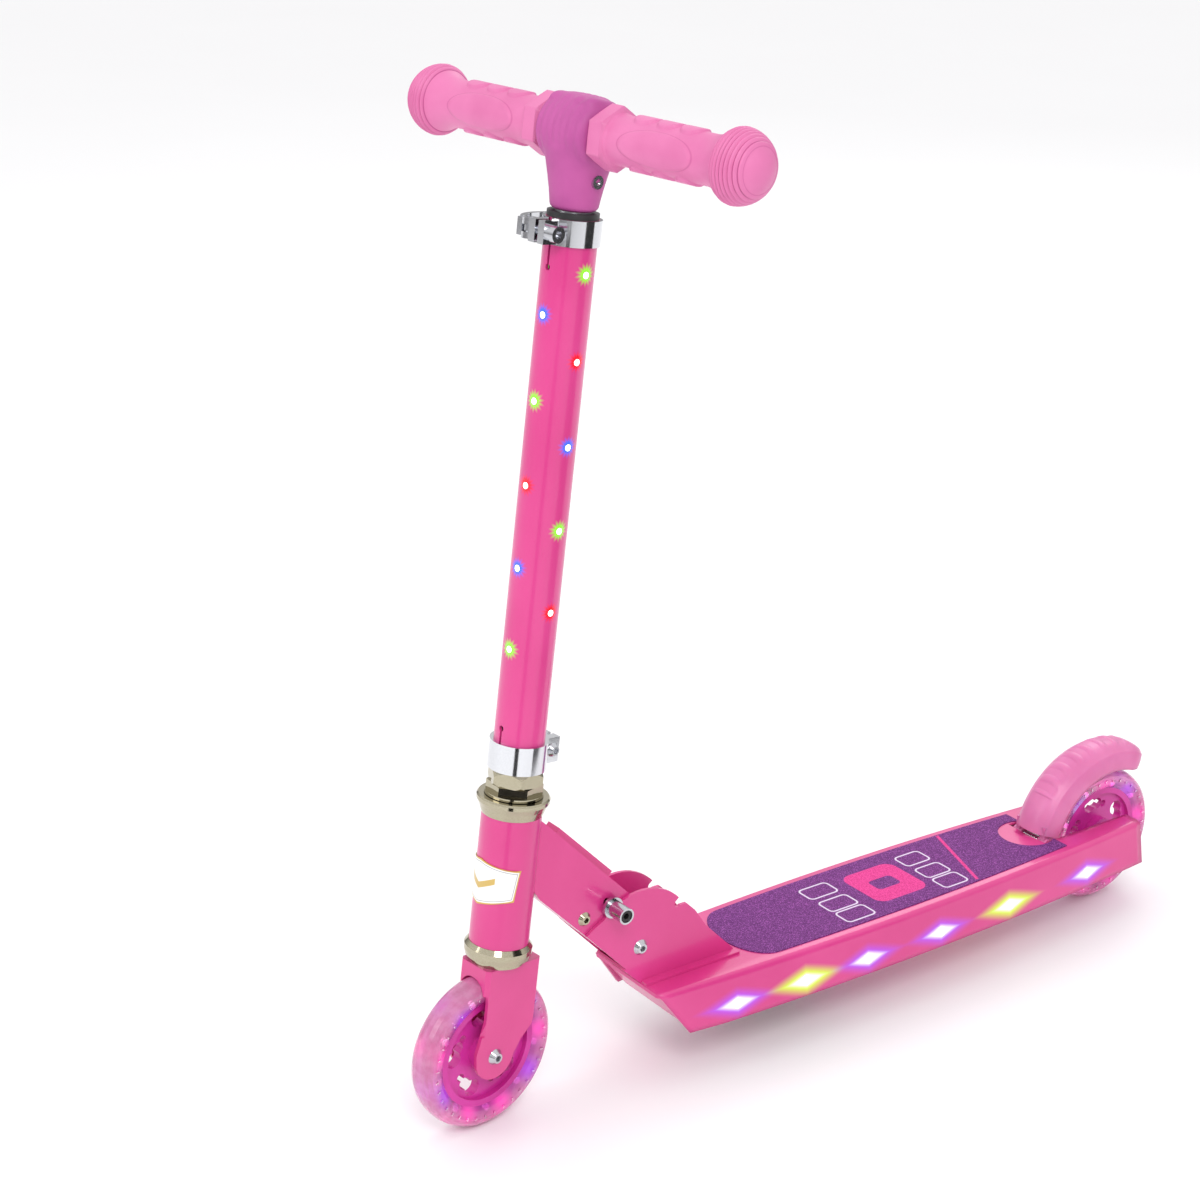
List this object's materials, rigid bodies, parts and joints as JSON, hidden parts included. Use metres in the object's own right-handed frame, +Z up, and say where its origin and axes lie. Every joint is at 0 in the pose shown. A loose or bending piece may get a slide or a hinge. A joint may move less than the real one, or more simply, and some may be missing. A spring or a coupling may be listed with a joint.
{
  "type": "folding kick scooter",
  "caption": "Folding child's kick scooter with two light-up wheels, a stem that folds at the deck, height-adjustable T-bar and a fender brake.",
  "frame": {"origin": "on the floor midway between the two wheels' axles, on the centre plane", "axes": "+X forwards, +Y to the rider's left, +Z up"},
  "size_m": [0.7588, 0.3332, 0.7512],
  "materials": {
    "pink_paint": "gloss",
    "steel": "satin",
    "nickel": "polished",
    "aluminium": "polished",
    "black_plastic": "satin",
    "grip": "satin",
    "yoke": "matte",
    "tape": "grit",
    "tyre": "clear pink",
    "hub": "gloss",
    "lights": "lit lens",
    "fender": "translucent",
    "badge": "enamel",
    "magnet": "dark"
  },
  "bodies": {
    "deck": {"deck": "pink_paint", "nose_plate": "pink_paint", "grip_tape": "tape", "fold_bracket": "pink_paint", "fold_bolt": "steel", "deck_lights": "lights", "battery_box": "black_plastic", "battery_cover": "black_plastic", "rear_dropouts": "steel", "rear_axle": "steel", "rear_spacers": "steel", "rear_bearing_inner": "steel", "rear_magnet": "magnet", "fender_pin": "steel", "fender_spring": "steel"},
    "rear_wheel": {"rear_tyre": "tyre", "rear_hub": "hub", "rear_lights": "lights", "rear_bearing_outer": "steel"},
    "brake": {"rear_fender": "fender"},
    "neck": {"head_tube": "pink_paint", "neck_frame": "pink_paint", "neck_strip": "pink_paint", "neck_bolt": "nickel", "badge": "badge", "lower_cup": "nickel", "upper_cup": "nickel"},
    "lock": {"lock_pin": "steel", "lock_insert": "black_plastic"},
    "fork": {"fork": "pink_paint", "crown_race": "nickel", "headset_balls": "steel", "upper_cone": "nickel", "locknut": "nickel", "stem_tube": "pink_paint", "stem_lights": "lights", "light_strips": "lights", "clamp_shim": "black_plastic", "lower_clamp": "aluminium", "lower_clamp_bolt": "steel", "top_clamp": "aluminium", "top_bush": "black_plastic", "top_skewer": "steel", "front_axle": "steel", "front_spacers": "steel", "front_bearing_inner": "steel", "front_magnet": "magnet"},
    "front_wheel": {"front_tyre": "tyre", "front_hub": "hub", "front_lights": "lights", "front_bearing_outer": "steel"},
    "lever": {"clamp_lever": "aluminium"},
    "t_bar": {"t_bar": "aluminium", "yoke": "yoke", "yoke_bolt": "steel", "left_grip": "grip", "right_grip": "grip"}
  },
  "joints": [
    {"name": "rear_wheel_spin", "type": "hinge", "parent": "deck", "child": "rear_wheel", "pos_m": [-0.3195, 0, 0.06], "axis": [0, 1, 0], "continuous": true},
    {"name": "rear_brake", "type": "hinge", "parent": "deck", "child": "brake", "pos_m": [-0.2455, 0, 0.0735], "axis": [0, -1, 0], "range_deg": [0, 3], "stiffness_Nm_per_rad": 1.5, "springref_deg": -14.32},
    {"name": "fold", "type": "hinge", "parent": "deck", "child": "neck", "pos_m": [0.1875, 0, 0.1105], "axis": [0, -1, 0], "range_deg": [0, 85]},
    {"name": "fold_lock", "type": "slide", "parent": "neck", "child": "lock", "axis": [0.5417, 0, 0.8406], "range_m": [-0.007, 0.003]},
    {"name": "steering", "type": "hinge", "parent": "neck", "child": "fork", "pos_m": [0.31294, 0, 0.05923], "axis": [-0.1167, 0, 0.9932], "continuous": true},
    {"name": "front_wheel_spin", "type": "hinge", "parent": "fork", "child": "front_wheel", "pos_m": [0.31945, 0.00084, 0.05999], "axis": [-0.1262, 0.9919, -0.0148], "continuous": true},
    {"name": "clamp_lever", "type": "hinge", "parent": "fork", "child": "lever", "pos_m": [0.2697, -0.00959, 0.66256], "axis": [-0.1167, 0, 0.9932], "range_deg": [0, 60]},
    {"name": "bar_height", "type": "slide", "parent": "fork", "child": "t_bar", "axis": [-0.1167, 0, 0.9932], "range_m": [0, 0.15]}
  ]
}
